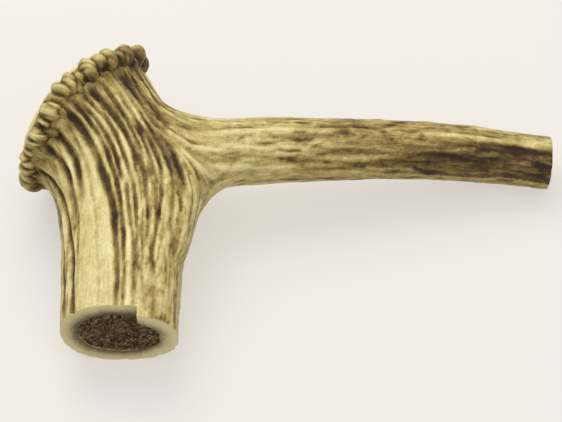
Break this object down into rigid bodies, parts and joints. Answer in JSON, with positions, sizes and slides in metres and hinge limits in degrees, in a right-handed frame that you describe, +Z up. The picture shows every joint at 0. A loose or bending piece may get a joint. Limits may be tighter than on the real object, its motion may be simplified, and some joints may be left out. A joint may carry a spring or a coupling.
{
  "type": "sawn antler base",
  "caption": "Sawn base section of a shed deer antler with a knobbly burr, grooved main beam and one brow tine, as raw stock for folk craft carving.",
  "frame": {"origin": "on the floor, under the middle of the piece's bounding box as it lies on its side", "axes": "+X along the brow tine towards its sawn end, +Y away from the beam's sawn end towards the burr, +Z up"},
  "size_m": [0.1982, 0.1156, 0.0619],
  "materials": {
    "burr_bone": "knobbly antler, worn pale on the crests and brown between them",
    "casting_bone": "pale, dry, finely pitted bone",
    "antler_skin": "grooved antler, straw coloured ridges and dark brown grooves, low sheen",
    "spongy_bone": "open, granular, dark brown spongy bone"
  },
  "bodies": {
    "root": {"burr": "burr_bone", "casting_face": "casting_bone", "beam_cortex": "antler_skin", "beam_core": "spongy_bone", "tine_cortex": "antler_skin", "tine_core": "spongy_bone"}
  },
  "joints": []
}
